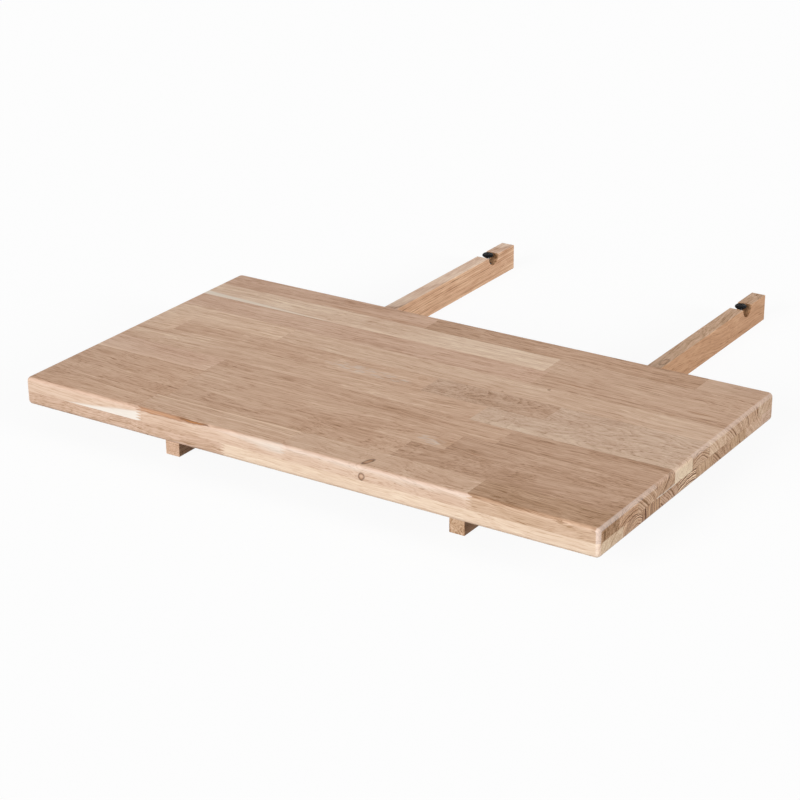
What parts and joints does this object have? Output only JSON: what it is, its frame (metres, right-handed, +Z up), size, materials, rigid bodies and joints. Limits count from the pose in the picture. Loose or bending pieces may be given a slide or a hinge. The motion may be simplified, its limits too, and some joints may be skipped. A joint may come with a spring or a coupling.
{
  "type": "table extension leaf",
  "caption": "Oak leaf that extends a dining table: stave-glued panel on bars that slide under the table top, with hand-turned levelling screws in half-round notches.",
  "frame": {"origin": "at floor level under the bars, midway along the leaf and midway between the leaf's front edge and the bars' far ends", "axes": "+X along the leaf's length, +Y from the leaf's front edge to the bars' far ends, +Z up"},
  "size_m": [0.9, 0.944, 0.081],
  "materials": {
    "oak_top_layer": "sanded and matt oiled",
    "oak_bottom_layer": "sanded and matt oiled",
    "oak_bar": "planed and matt oiled",
    "black_plastic": "moulded, satin",
    "plated_steel": "zinc plated"
  },
  "bodies": {
    "leaf": {"top_stave_row_01": "oak_top_layer", "top_stave_row_02": "oak_top_layer", "top_stave_row_03": "oak_top_layer", "top_stave_row_04": "oak_top_layer", "top_stave_row_05": "oak_top_layer", "top_stave_row_06": "oak_top_layer", "top_stave_row_07": "oak_top_layer", "top_stave_row_08": "oak_top_layer", "top_stave_row_09": "oak_top_layer", "top_stave_row_10": "oak_top_layer", "bottom_stave_row_01": "oak_bottom_layer", "bottom_stave_row_02": "oak_bottom_layer", "bottom_stave_row_03": "oak_bottom_layer", "bottom_stave_row_04": "oak_bottom_layer", "bottom_stave_row_05": "oak_bottom_layer", "bottom_stave_row_06": "oak_bottom_layer", "bottom_stave_row_07": "oak_bottom_layer", "bottom_stave_row_08": "oak_bottom_layer", "bottom_stave_row_09": "oak_bottom_layer", "bottom_stave_row_10": "oak_bottom_layer", "left_bar": "oak_bar", "left_threaded_insert": "plated_steel", "left_bar_screws": "plated_steel", "left_bar_washers": "plated_steel", "right_bar": "oak_bar", "right_threaded_insert": "plated_steel", "right_bar_screws": "plated_steel", "right_bar_washers": "plated_steel"},
    "left_stud": {"left_levelling_stud": "plated_steel"},
    "left_head": {"left_levelling_head": "black_plastic"},
    "right_stud": {"right_levelling_stud": "plated_steel"},
    "right_head": {"right_levelling_head": "black_plastic"}
  },
  "joints": [
    {"name": "left_screw_lift", "type": "slide", "parent": "leaf", "child": "left_stud", "axis": [0, 0, 1], "range_m": [-0.008, 0.004]},
    {"name": "left_screw_turn", "type": "hinge", "parent": "left_stud", "child": "left_head", "pos_m": [-0.227, 0.4055, 0.0406], "axis": [0, 0, 1], "range_deg": [-2880, 1440]},
    {"name": "right_screw_lift", "type": "slide", "parent": "leaf", "child": "right_stud", "axis": [0, 0, 1], "range_m": [-0.008, 0.004]},
    {"name": "right_screw_turn", "type": "hinge", "parent": "right_stud", "child": "right_head", "pos_m": [0.227, 0.4055, 0.0406], "axis": [0, 0, 1], "range_deg": [-2880, 1440]}
  ],
  "couplings": [
    {"joint": "left_screw_turn", "follows": "left_screw_lift", "rad_per_m": 6283.2},
    {"joint": "right_screw_turn", "follows": "right_screw_lift", "rad_per_m": 6283.2}
  ]
}
